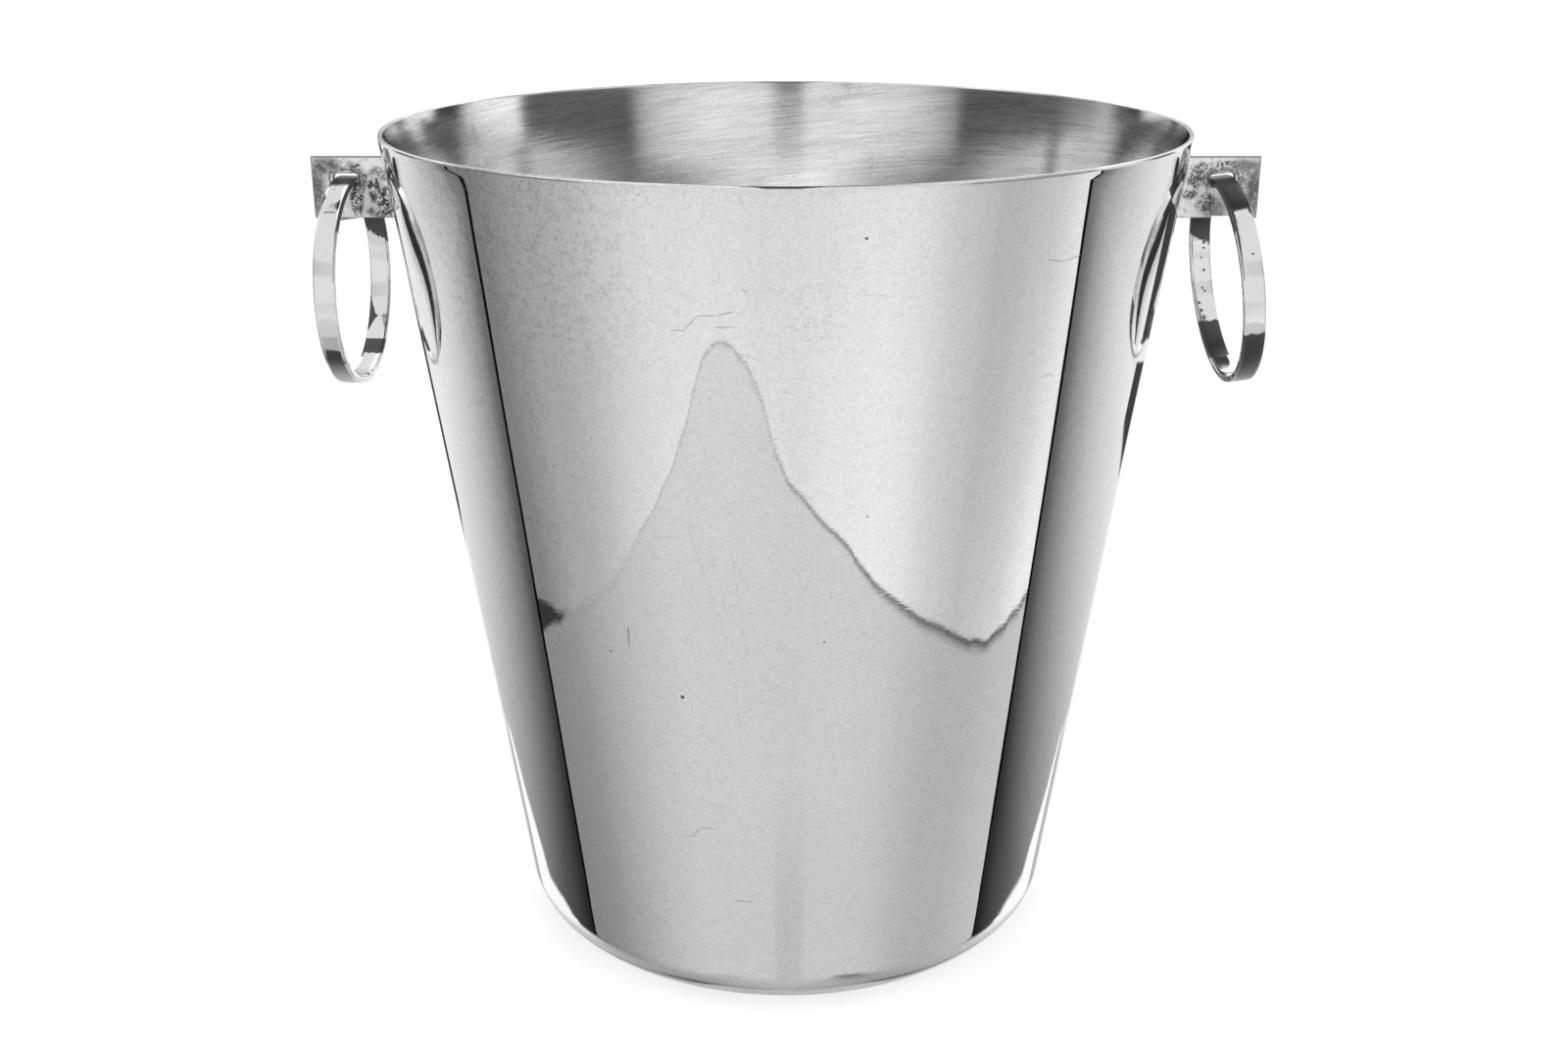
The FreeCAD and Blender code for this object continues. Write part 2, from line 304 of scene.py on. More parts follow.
def low_side_light(s, past, azimuth, elevation):
    """Outside the gaps: pleated side panels, and the open back beyond them."""
    pleats = s.math("SINE", s.times(past, 2 * math.pi / PLEAT_PITCH))
    pleats = s.times(pleats, s.times(s.between(past, 2.0, 16.0, 14.0), 0.13))
    light = s.times(s.profile(past, SIDES), s.plus(1.0, pleats))
    light = s.times(light, s.profile(elevation, SIDES_FALL))
    from_front = s.math("ABSOLUTE", azimuth)
    back_edge = s.times(s.profile(elevation, [(e, a / 180) for e, a in BACK_EDGE]), 180.0)
    past_edge = s.minus(from_front, back_edge)
    # The back is dimmer underfoot, and low down right behind.
    dim = s.times(s.step(from_front, 160.0, 170.0), s.step(elevation, -17.0, -23.0))
    dim = s.math("MAXIMUM", dim, s.step(elevation, -44.0, -54.0))
    light = s.mix(s.step(past_edge, -0.7, 1.2), light, s.mix(dim, 0.94, 0.5))
    # Black frames stand behind each lug, with a light gap across the right one.
    slant = s.minus(elevation, s.times(s.minus(azimuth, 150.0), 0.145))
    across_gap = s.between(slant, -16.75, -16.15, 0.12)
    right_frame = s.times(s.between(azimuth, 145.0, 157.0, 0.6), s.step(elevation, -19.9, -19.2))
    right_frame = s.times(right_frame, s.minus(1.0, across_gap))
    left_frame = s.times(s.step(azimuth, -155.8, -157.5), s.step(elevation, -21.0, -20.0))
    stripe_at = s.times(s.profile(elevation, [(e, a / 180) for e, a in STRIPE]), 180.0)
    stripe_half = s.mix(s.step(elevation, -18.2, -17.4), 1.0, 2.0)
    off_stripe = s.math("ABSOLUTE", s.minus(from_front, stripe_at))
    stripe = s.step(off_stripe, s.plus(stripe_half, 0.5), s.minus(stripe_half, 0.3))
    stripe = s.times(stripe, s.between(elevation, -18.1, -11.5, 0.1))
    beside_stripe = s.times(s.step(off_stripe, 7.0, 2.0), s.between(elevation, -17.5, -12.0, 0.5))
    light = s.times(light, s.minus(1.0, s.times(beside_stripe, 0.35)))
    frames = s.math("MAXIMUM", s.math("MAXIMUM", right_frame, left_frame), stripe)
    light = s.times(light, s.minus(1.0, s.times(frames, 0.94)))
    gap = s.between(past, -0.1, 1.2, 0.3)
    return s.times(light, s.minus(1.0, s.times(gap, 0.97)))


def underfoot_light(s, x, y, elevation, light):
    """Steeply down beside the bucket the table is dark, and it brightens again behind."""
    left = s.between(x, -0.36, -0.235, 0.015)
    right = s.between(x, 0.27, 0.39, 0.015)
    steep = s.mix(s.step(y, -0.1, 0.1), s.step(elevation, -50.3, -51.3), s.step(elevation, -26.0, -29.0))
    dim = s.times(left, steep)
    light = s.mix(dim, light, 0.40)
    dark_left = s.times(dim, s.step(y, -0.28, -0.24))
    dark_right = s.times(s.times(right, steep), s.step(y, -0.64, -0.60))
    shadow = s.plus(0.05, s.times(s.step(y, -0.1, 0.85), 0.4))
    return s.mix(s.math("MAXIMUM", dark_left, dark_right), light, shadow)


def high_light(s, x, y, z, azimuth, elevation):
    """Walls round the horizon, then the ceiling, slit open over the camera from front to back."""
    front = s.step(y, 0.1, -0.3)
    ceiling = s.mix(front, CEILING, CEILING_FRONT)
    over_left = s.times(s.between(x, -0.5, -0.3, 0.02), s.between(y, -0.2, 0.5, 0.05))
    over_left = s.math("MAXIMUM", over_left, s.between(x, -0.32, -0.21, 0.015))
    over_right = s.times(s.between(x, 0.12, 0.4, 0.02), s.between(y, -0.35, 0.15, 0.05))
    ceiling = s.mix(s.math("MAXIMUM", over_left, over_right), ceiling, CEILING_FRONT)
    # Dark boards hang high up at both sides, a little behind.
    left_board = s.times(s.between(azimuth, -141.0, -104.0, 3.0), s.between(elevation, 34.0, 57.0, 3.0))
    right_board = s.times(s.between(azimuth, 90.0, 142.0, 3.0), s.between(elevation, 40.0, 76.0, 3.0))
    boards = s.math("MAXIMUM", left_board, right_board)
    ceiling = s.times(ceiling, s.minus(1.0, s.times(boards, 0.92)))
    light = s.mix(s.step(elevation, 10.0, 24.0), s.profile(azimuth, HORIZON), ceiling)
    drapes = s.profile(s.math("ABSOLUTE", azimuth), DRAPES)
    light = s.times(light, s.mix(s.between(elevation, 17.0, 27.0, 5.0), 1.0, drapes))
    rough_edge = s.times(s.minus(s.noise(s.join(x, y, z), 14.0, detail=3.0), 0.5), 0.02)
    across = s.plus(x, rough_edge)
    behind = s.step(y, -0.02, 0.08)
    right_edge = s.plus(0.064, s.times(s.step(elevation, 35.0, 58.0), 0.03))
    right_edge = s.plus(right_edge, s.times(behind, 0.07))
    slit = s.between(across, -0.092, right_edge, 0.012)
    slit = s.times(slit, s.mix(behind, s.step(elevation, 7.6, 9.6), s.step(elevation, 26.0, 34.0)))
    hole = s.math("SQRT", s.plus(s.math("POWER", s.times(s.plus(across, 0.205), 1 / 0.056), 2.0),
                                 s.math("POWER", s.times(s.minus(y, 0.19), 1 / 0.15), 2.0)))
    notch = s.times(s.between(y, -0.01, 0.03, 0.012), s.between(across, -0.31, -0.25, 0.01))
    overhead = s.step(z, 0.5, 0.6)
    opening = s.math("MAXIMUM", s.step(hole, 1.05, 0.95), s.times(notch, 0.8))
    slit = s.math("MAXIMUM", slit, s.times(opening, overhead))
    slit_light = s.mix(s.step(elevation, 25.0, 50.0), 0.26, 0.05)
    return s.mix(slit, light, slit_light)


def make_light_tent():
    """The surroundings as a function of direction: cloth panels with dark gaps between them, a table
    in front and a bright ceiling."""
    world = bpy.data.worlds.new("light_tent")
    bpy.context.scene.world = world
    world.use_nodes = True
    s = Shader(world.node_tree)
    x, y, z = s.split(s.add("ShaderNodeTexCoord").outputs["Generated"])
    azimuth = s.times(s.math("ARCTAN2", x, s.times(y, -1.0)), TO_DEGREES)
    elevation = s.times(s.math("ARCSINE", z), TO_DEGREES)
    below = s.plus(elevation, 19.0)
    # High up, just under the rim's reflection, both gaps flare outwards.
    flare_left = s.times(s.math("MAXIMUM", s.plus(elevation, 18.2), 0.0), 2.4)
    gap_left = s.plus(s.times(below, GAP_LEFT[1]), GAP_LEFT[0])
    gap_left = s.minus(gap_left, s.math("MINIMUM", flare_left, 7.0))
    flare_right = s.times(s.math("MAXIMUM", s.plus(elevation, 18.8), 0.0), 1.6)
    gap_right = s.plus(s.times(below, GAP_RIGHT[1]), GAP_RIGHT[0])
    gap_right = s.plus(gap_right, s.math("MINIMUM", flare_right, 4.0))
    past = s.math("MAXIMUM", s.minus(gap_left, azimuth), s.minus(azimuth, gap_right))
    outside = s.step(past, -0.1, 0.1)
    front_light = low_front_light(s, azimuth, elevation)
    side_light = low_side_light(s, past, azimuth, elevation)
    low = s.mix(outside, front_light, side_light)
    low = underfoot_light(s, x, y, elevation, low)
    high = high_light(s, x, y, z, azimuth, elevation)
    foot = s.profile(s.math("ABSOLUTE", azimuth), [(a, (e + 20) / 20) for a, e in HORIZON_FOOT])
    above_foot = s.minus(elevation, s.minus(s.times(foot, 20.0), 20.0))
    light = s.mix(s.step(above_foot, -0.8, 0.8), low, high)
    background = s.add("ShaderNodeBackground")
    s.feed(background.inputs["Color"], s.grey(light))
    background.inputs["Strength"].default_value = TENT_STRENGTH
    out = s.add("ShaderNodeOutputWorld")
    s.feed(out.inputs["Surface"], background.outputs[0])


# ---- Floor, backdrop and camera -----------------------------------------------------------------
STAGE_RADIUS = 8.0            # metres
STAGE_SEGMENTS = 96
FLOOR_GLOW = 0.54


def mesh_object(name, points, faces):
    mesh = bpy.data.meshes.new(name)
    mesh.from_pydata([tuple(p) for p in points], [], faces)
    mesh.polygons.foreach_set("use_smooth", [True] * len(mesh.polygons))
    mesh.update()
    made = bpy.data.objects.new(name, mesh)
    bpy.context.scene.collection.objects.link(made)
    return made


def turn_profile(name, profile, segments):
    """A turned surface from (radius, height) points in metres; a radius of 0 becomes a pole."""
    points = []
    rows = []
    for radius, height in profile:
        if radius == 0:
            rows.append([len(points)] * segments)
            points.append((0, 0, height))
            continue
        rows.append(range(len(points), len(points) + segments))
        for i in range(segments):
            angle = 2 * math.pi * i / segments
            points.append((radius * math.cos(angle), radius * math.sin(angle), height))
    faces = []
    for low, high in zip(rows, rows[1:]):
        for i in range(segments):
            j = (i + 1) % segments
            corners = [low[i], low[j], high[j], high[i]]
            faces.append(list(dict.fromkeys(corners)))
    return mesh_object(name, points, faces)


def make_floor():
    """A pale table top that glows a little, as translucent acrylic over a lamp does."""
    floor = turn_profile("floor", [(0, 0), (0.5, 0), (2, 0), (STAGE_RADIUS, 0)], STAGE_SEGMENTS)
    floor.visible_glossy = False
    material, s = new_material("pale_floor")
    position = s.add("ShaderNodeTexCoord").outputs["Object"]
    tone = s.mix(s.noise(position, 6.0), 0.90, 0.92)
    paper = s.add("ShaderNodeBsdfPrincipled")
    s.feed(paper.inputs["Base Color"], s.grey(tone))
    paper.inputs["Roughness"].default_value = 0.9
    paper.inputs["Specular IOR Level"].default_value = 0.1
    paper.inputs["Emission Color"].default_value = (1, 1, 1, 1)
    paper.inputs["Emission Strength"].default_value = FLOOR_GLOW
    out = s.add("ShaderNodeOutputMaterial")
    s.feed(out.inputs["Surface"], paper.outputs[0])
    floor.data.materials.append(material)


def make_backdrop():
    """A plain white dome round everything, seen only past the floor's edge."""
    steps = 24
    angles = [math.pi / 2 * i / steps for i in range(steps)]
    profile = [(STAGE_RADIUS * math.cos(a), STAGE_RADIUS * math.sin(a)) for a in angles]
    dome = turn_profile("backdrop", profile + [(0, STAGE_RADIUS)], STAGE_SEGMENTS)
    for ray in ("visible_glossy", "visible_diffuse", "visible_shadow", "visible_transmission"):
        setattr(dome, ray, False)
    material, s = new_material("white_backdrop")
    glow = s.add("ShaderNodeEmission")
    out = s.add("ShaderNodeOutputMaterial")
    s.feed(out.inputs["Surface"], glow.outputs[0])
    dome.data.materials.append(material)


def make_camera():
    data = bpy.data.cameras.new("camera")
    data.lens = CAMERA_LENS
    data.sensor_width = CAMERA_SENSOR
    data.shift_x = CAMERA_SHIFT
    data.clip_start = 0.01
    camera = bpy.data.objects.new("camera", data)
    camera.location = Vector(CAMERA_PLACE) * MM
    camera.rotation_euler = (math.radians(90 - CAMERA_PITCH_DEG), 0, 0)
    bpy.context.scene.collection.objects.link(camera)
    bpy.context.scene.camera = camera


# ---- Bucket -------------------------------------------------------------------------------------
BUCKET_SEGMENTS = 384
WAVE_DEPTH = 0.012            # of each slow wave the spinning left in the wall


def wall_radius(height):
    return RIM_RADIUS - VISUAL_SHRINK - (HEIGHT - height) * math.tan(TAPER)


def arc_points(centre, radius, start, end, count):
    """Points of an arc in the (radius, height) plane, angles in radians from +radius towards +height."""
    angles = [start + (end - start) * i / count for i in range(count + 1)]
    return [(centre[0] + radius * math.cos(a), centre[1] + radius * math.sin(a)) for a in angles]


def straight_points(start, end, count):
    """The points between two ends, both left out."""
    return [(start[0] + (end[0] - start[0]) * i / count, start[1] + (end[1] - start[1]) * i / count)
            for i in range(1, count)]


def bucket_profile():
    """(radius, height) points in millimetres: under the base, up the outside, over the rim, down inside."""
    corner = (wall_radius(BASE_CORNER_RADIUS) - BASE_CORNER_RADIUS / math.cos(TAPER), BASE_CORNER_RADIUS)
    rim_radius = WALL / 2
    rim_height = HEIGHT - rim_radius
    rim = (wall_radius(rim_height) - rim_radius / math.cos(TAPER), rim_height)
    dish_sphere = (DISH_RADIUS ** 2 + DISH_DEPTH ** 2) / (2 * DISH_DEPTH)
    inside_corner = BASE_CORNER_RADIUS - WALL

    def dish(radius, lift):
        return (radius, lift + DISH_DEPTH - dish_sphere + math.sqrt(dish_sphere ** 2 - radius ** 2))

    dish_radii = [DISH_RADIUS * i / 24 for i in range(25)]
    outside_corner = arc_points(corner, BASE_CORNER_RADIUS, -math.pi / 2, -TAPER, 28)
    rim_turn = arc_points(rim, rim_radius, -TAPER, math.pi - TAPER, 20)
    inside_turn = arc_points(corner, inside_corner, -TAPER, -math.pi / 2, 20)
    return (
        [dish(r, 0) for r in dish_radii]
        + straight_points((DISH_RADIUS, 0), outside_corner[0], 4)
        + outside_corner
        + straight_points(outside_corner[-1], rim_turn[0], 120)
        + rim_turn
        + straight_points(rim_turn[-1], inside_turn[0], 60)
        + inside_turn
        + straight_points(inside_turn[-1], (DISH_RADIUS, WALL), 4)
        + [dish(r, WALL) for r in reversed(dish_radii)]
    )


def spun_unevenness(angle, height):
    """How far the spun wall stands in from a true cone, in millimetres: slow waves round and up it."""
    waves = math.sin(3 * angle + height * 0.021) + 0.6 * math.sin(7 * angle - height * 0.047 + 1.3)
    waves += 0.5 * math.sin(height * 0.13 + 2 * angle)
    return WAVE_DEPTH * (2.1 - waves)


def make_bucket():
    profile = [(r * MM, z * MM) for r, z in bucket_profile()]
    bucket = turn_profile("bucket", profile, BUCKET_SEGMENTS)
    wave_low = BASE_CORNER_RADIUS + 1.5
    wave_high = HEIGHT - 4.0
    for vertex in bucket.data.vertices:
        height = vertex.co.z / MM
        on_wall = smooth(height, wave_low, wave_low + 12) * (1 - smooth(height, wave_high - 12, wave_high))
        if on_wall > 0:
            angle = math.atan2(vertex.co.y, vertex.co.x)
            radius = math.hypot(vertex.co.x, vertex.co.y)
            shrink = 1 - on_wall * spun_unevenness(angle, height) * MM / radius
            vertex.co.x *= shrink
            vertex.co.y *= shrink
    bucket.data.update()
    bucket.data.materials.append(polished_silver())
    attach(bucket, "bucket")
    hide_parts("bucket_body")


ROUND = math.radians(88.0)    # millimetres round the wall for one degree, a little above mid height


def scratch(s, plane, points, width):
    """1 along a thin line on the wall, through (degrees, height) points; each run tapers to its ends."""
    marked = 0.0
    for start, end in zip(points, points[1:]):
        run = ((end[0] - start[0]) * ROUND, end[1] - start[1])
        middle = ((start[0] + end[0]) / 2 * ROUND, (start[1] + end[1]) / 2)
        length = math.hypot(*run)
        line = s.blob(plane, middle, (length * 0.54, width), math.atan2(run[1], run[0]))
        marked = s.math("MAXIMUM", marked, line)
    return marked


# Wear on the wall, as (angle from the front in degrees, height in millimetres).
DENT = (-33.9, 196.4)
DEEP_PIT = ((-16.7, 91.6), 0.5)
PITS = [DEEP_PIT, ((9.5, 201.2), 0.32), ((11.4, 138.7), 0.22), ((-40.1, 167.4), 0.15),
        ((-27.5, 154.5), 0.15), ((-9.9, 166.4), 0.14), ((5.8, 107.7), 0.25), ((-28.8, 100.7), 0.25),
        ((-34.9, 145.7), 0.15)]
SCRATCHES = [
    ([(-14.5, 181.2), (-12.8, 181.4), (-10.9, 184.7), (-8.6, 184.9), (-6.2, 185.9)], 0.13),
    ([(-9.0, 182.3), (-6.2, 182.6)], 0.12),
    ([(-5.3, 190.5), (-4.6, 190.3)], 0.13),
    ([(34.8, 193.4), (37.5, 192.6), (40.5, 193.2)], 0.13),
    ([(36.7, 166.6), (38.4, 166.9), (39.2, 165.8)], 0.12),
    ([(-9.6, 34.6), (-6.0, 34.4)], 0.13),
    ([(-18.5, 52.0), (-16.5, 52.4), (-15.5, 55.2), (-12.0, 55.4)], 0.12),
    ([(-25.2, 103.0), (-25.0, 108.5)], 0.3),
]
FAINT_SCRATCHES = [
    ([(-37.5, 176.9), (-29.9, 177.3), (-23.3, 176.8)], 0.13),
    ([(-0.2, 171.4), (2.5, 171.3), (4.7, 171.9)], 0.12),
    ([(27.0, 170.8), (30.0, 170.4)], 0.13),
    ([(-22.1, 127.7), (-13.0, 126.6), (-4.5, 127.7)], 0.12),
    ([(-14.0, 136.0), (-10.5, 116.0)], 0.12),
    ([(-11.0, 133.0), (-8.5, 112.0)], 0.10),
    ([(-8.0, 134.0), (-6.0, 104.0)], 0.10),
    ([(-8.0, 99.0), (-7.0, 76.0)], 0.12),
    ([(6.0, 190.0), (17.0, 188.0)], 0.10),
    ([(-6.0, 177.0), (-2.0, 174.5)], 0.12),
]
SCUFFED = [
    ((-28.0, 208.8), (20.0, 2.6)), ((-36.0, 6.5), (5.0, 1.6)), ((-20.0, 5.0), (7.0, 1.5)),
    ((-6.0, 4.6), (8.0, 1.6)), ((10.0, 5.5), (10.0, 2.5)), ((28.0, 8.0), (8.0, 3.0)),
    ((-30.0, 22.0), (3.5, 4.0)), ((-58.0, 172.0), (3.0, 12.0)), ((58.0, 176.0), (3.0, 6.0)),
    ((3.0, 184.0), (4.0, 6.0)),
]


def outside_marks(s, position, plane):
    """Pits, scratches, scuffs and specks on the outside, 0 to 1."""
    marks = 0.0
    for (degrees, height), size in PITS:
        marks = s.math("MAXIMUM", marks, s.blob(plane, (degrees * ROUND, height), (size, size)))
    scored = 0.0
    for points, width in SCRATCHES:
        scored = s.math("MAXIMUM", scored, scratch(s, plane, points, width))
    marks = s.math("MAXIMUM", marks, s.times(scored, 0.5))
    faint = 0.0
    for points, width in FAINT_SCRATCHES:
        faint = s.math("MAXIMUM", faint, scratch(s, plane, points, width))
    broken = s.step(s.noise(position, 700.0, detail=2.0), 0.36, 0.5)
    marks = s.math("MAXIMUM", marks, s.times(s.times(faint, broken), 0.2))
    scuffed = 0.0
    for (degrees, height), (wide, tall) in SCUFFED:
        patch = s.blob(plane, (degrees * ROUND, height), (wide * ROUND, tall), soft=0.6)
        scuffed = s.math("MAXIMUM", scuffed, patch)
    nicks = s.noise(position, 900.0, detail=4.0, rough=0.7, warp=1.5)
    scuffed = s.times(s.step(nicks, 0.56, 0.66), s.times(scuffed, 0.45))
    specks = s.times(s.step(s.noise(position, 1500.0, detail=1.0), 0.76, 0.80), 0.25)
    return s.math("MAXIMUM", marks, s.math("MAXIMUM", scuffed, specks))


def polished_silver():
    """Outside: mirror-bright plate with spinning lines, hairlines and pits. Inside: brushed streaks."""
    material, s = new_material("bucket_silver_polished")
    position, x, y, height = millimetres(s)
    angle = s.times(s.math("ARCTAN2", x, s.times(y, -1.0)), TO_DEGREES)
    radius = s.math("SQRT", s.plus(s.times(x, x), s.times(y, y)))
    wall_here = s.plus(s.times(height, math.tan(TAPER)), RIM_RADIUS - HEIGHT * math.tan(TAPER))
    inside = s.step(s.minus(wall_here, radius), 0.5, 0.9)
    outside = s.minus(1.0, inside)
    round_x = s.math("DIVIDE", x, radius)
    round_y = s.math("DIVIDE", y, radius)

    # Lines left by spinning run round the wall, a fraction of a millimetre apart; they are stronger in
    # some places than in others.
    spin_lines = s.noise(s.join(s.times(round_x, 3.0), s.times(round_y, 3.0), height), 1.7, rough=0.6)
    wide_patches = s.join(s.times(round_x, 2.0), s.times(round_y, 2.0), s.times(height, 0.02))
    line_patches = s.noise(wide_patches, 1.0, detail=1.0)
    spin_lines = s.times(spin_lines, s.plus(0.2, s.step(line_patches, 0.4, 0.62)))
    grain = s.noise(position, 1500.0, detail=3.0, rough=0.8)
    mottle = s.noise(position, 420.0, detail=4.0, rough=0.75)
    clouds = s.noise(position, 24.0, detail=5.0, rough=0.6)
    upright = s.join(s.times(round_x, 45.0), s.times(round_y, 45.0), s.times(height, 0.004))
    chatter = s.noise(upright, 1.0, detail=1.0)
    plane = s.join(s.times(angle, ROUND), height, 0.0)
    tarnished = s.math("MAXIMUM", s.blob(plane, (-38.0 * ROUND, 196.0), (17.0 * ROUND, 26.0), soft=0.7),
                       s.times(s.blob(plane, (-42.0 * ROUND, 150.0), (9.0 * ROUND, 50.0), soft=0.7), 0.5))
    marks = s.times(outside_marks(s, position, plane), outside)
    dent_place = (DENT[0] * ROUND, DENT[1])
    dent_ring = s.minus(s.blob(plane, dent_place, (1.5, 1.5)), s.blob(plane, dent_place, (1.05, 1.05)))
    base = s.step(height, 12.0, 8.0)

    # Inside, strokes of brushing run round the wall, rising a little towards the right.
    climb = s.minus(height, s.times(x, 0.1))
    fine_strokes = s.join(s.times(round_x, 7.0), s.times(round_y, 7.0), s.times(climb, 1.5))
    strokes = s.noise(fine_strokes, 1.0, detail=5.0, rough=0.8, warp=0.3)
    broad_strokes = s.join(s.times(round_x, 3.0), s.times(round_y, 3.0), s.times(climb, 0.22))
    sweeps = s.noise(broad_strokes, 1.0, detail=3.0, rough=0.6)
    bruised = s.step(s.noise(position, 55.0, detail=4.0, rough=0.7), 0.6, 0.72)

    normal = s.bump(spin_lines, 0.0000016)
    normal = s.bump(chatter, 0.000006, strength=0.6, normal=normal)
    normal = s.bump(grain, 0.0000005, normal=normal)
    normal = s.bump(s.times(s.plus(strokes, sweeps), inside), 0.000014, normal=normal)
    (pit_degrees, pit_height), pit_size = DEEP_PIT
    deep_pit = s.blob(plane, (pit_degrees * ROUND, pit_height), (pit_size, pit_size))
    hollow = s.plus(s.times(deep_pit, -1.0), s.times(dent_ring, -0.25))
    normal = s.bump(hollow, 0.00004, normal=normal)
    rough_outside = s.plus(0.008, s.times(clouds, 0.018))
    rough_outside = s.plus(rough_outside, s.plus(s.times(marks, 0.25), s.times(base, 0.42)))
    rough_inside = s.plus(0.035, s.times(strokes, 0.11))
    roughness = s.mix(inside, rough_outside, rough_inside)
    tone_outside = s.mix(clouds, 0.90, 0.97)
    tone_outside = s.plus(tone_outside, s.times(s.minus(grain, 0.5), s.plus(0.6, s.times(tarnished, 0.7))))
    mottled = s.times(s.minus(mottle, 0.5), s.plus(0.2, tarnished))
    tone_outside = s.plus(tone_outside, s.times(mottled, 0.85))
    tone_outside = s.plus(tone_outside, s.times(s.minus(spin_lines, 0.3), 0.01))
    tone_outside = s.times(tone_outside, s.minus(1.0, s.times(marks, 0.8)))
    tone_inside = s.plus(s.mix(strokes, 0.36, 1.34), s.times(s.minus(sweeps, 0.5), 0.5))
    tone_inside = s.plus(tone_inside, s.times(s.minus(grain, 0.5), 0.55))
    tone_inside = s.times(tone_inside, s.minus(1.0, s.times(bruised, 0.15)))
    colour = s.math("MINIMUM", s.mix(inside, tone_outside, tone_inside), 0.985)
    finish_metal(s, colour, roughness, normal)
    return material


# ---- Rings --------------------------------------------------------------------------------------
RING_SEGMENTS = 288
RING_WAVE = 0.04              # unevenness left by hand bending
RING_CROWN = 0.07             # how far the strip's faces curve at its edges


def handle_frame(handle):
    """The leaning frame of one handle: origin on the hinge line, in metres."""
    lean = math.radians(handle["lean"])
    hinge_x = (handle["ring_x"] - RING_DROP * math.sin(lean)) * handle["sign"]
    tilt = Matrix.Rotation(-lean * handle["sign"], 4, "Y")
    return Matrix.Translation(Vector((hinge_x, 0, PIVOT_HEIGHT)) * MM) @ tilt


def strip_section():
    """Outline of the ring's strip: (across, outward) in millimetres from the strip's centre."""
    half_width = RING_WIDTH / 2
    half_thick = RING_THICKNESS / 2
    r = RING_EDGE_RADIUS
    corners = [(1, 1, 0), (-1, 1, 90), (-1, -1, 180), (1, -1, 270)]
    outline = []
    for side, level, start in corners:
        centre = (side * (half_width - r), level * (half_thick - r))
        outline += arc_points(centre, r, math.radians(start), math.radians(start + 90), 4)
    dense = []
    for here, ahead in zip(outline, outline[1:] + outline[:1]):
        dense.append(here)
        if math.dist(here, ahead) > 0.5:
            dense += straight_points(here, ahead, 8)
    return dense


def make_ring(side, handle):
    """The flat strip, bent round and soldered, with the small unevenness of hand work."""
    section = strip_section()
    middle = RING_RADIUS - RING_THICKNESS / 2
    turn = Matrix.Rotation(math.radians(handle["turn"]) * handle["sign"], 4, "Z")
    hang = Matrix.Translation(Vector((0, 0, -RING_DROP)) * MM)
    place = handle_frame(handle) @ hang @ turn
    points = []
    strip = []
    for i in range(RING_SEGMENTS):
        angle = 2 * math.pi * i / RING_SEGMENTS
        outward = Vector((0, math.cos(angle), math.sin(angle)))
        for across, out in section:
            wave = noise.noise(outward * 5.0 + Vector((across * 0.3, 0, handle["lean"])))
            wave = wave * RING_WAVE - RING_WAVE
            wave -= RING_CROWN * (2 * abs(across) / RING_WIDTH) ** 4 * math.copysign(1, out)
            point = outward * (middle + out + wave) + Vector((across, 0, 0))
            strip.append(point)
            points.append(place @ (point * MM))
    count = len(section)
    faces = []
    for i in range(RING_SEGMENTS):
        here, ahead = i * count, (i + 1) % RING_SEGMENTS * count
        for k in range(count):
            m = (k + 1) % count
            faces.append((here + k, here + m, ahead + m, ahead + k))
    ring = mesh_object(side + "_ring_strip", points, faces)
    own_place = ring.data.attributes.new("strip_mm", "FLOAT_VECTOR", "POINT")
    own_place.data.foreach_set("vector", [value for point in strip for value in point])
    ring.data.materials.append(ring_silver(side))
    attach(ring, side + "_ring")
    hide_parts(side + "_ring")


# Marks on a ring: (across the strip in mm, degrees round from the front, size in mm, inner face or not).
RING_SPECKS = {
    "left": [(-0.6, 69, 0.28, False), (1.2, -38, 0.3, True)],
    "right": [(0.4, 155, 0.3, True), (0.9, 172, 0.4, True), (0.2, 178, 0.3, True), (0.7, 186, 0.45, True),
              (-0.2, 197, 0.4, True), (0.3, 199, 0.4, True), (-1.6, 206, 0.5, True), (-1.4, 211, 0.6, True),
              (-1.0, 216, 0.5, True), (1.4, 219, 0.35, True), (0.6, 25, 0.35, False)],
}
# Painted dark reflection on the far half's inner face, from just under the plate: degrees past the back at
# its edge.
PAINTED_REFLECTION_EDGE = {"left": 17.0, "right": 13.0}
# How dark the painted shade and painted reflections on the rings are.
PAINTED_SHADE_DARKNESS = 0.87
# More runs of painted dark reflection and painted shade: (from, to) in degrees round, inner face or not,
# and how dark at each end.
PAINTED_REFLECTION_RUNS = {
    "left": [(231.0, 242.5, True, 0.85, 0.85), (89.0, 112.0, False, 0.4, 0.4)],
    "right": [(218.5, 247.0, True, 0.86, 0.80), (53.0, 92.0, False, 0.86, 0.86),
              (-84.0, -19.5, False, 0.35, 0.86)],
}


# A torn wedge of painted dark reflection on the left ring's far side: (degrees round, reach from the edge
# over 4 mm).
TORN_PAINTED_REFLECTION = [(200, 0.0), (204, 0.1), (213, 0.42), (214.5, 0.62), (217, 0.4), (226, 0.0)]


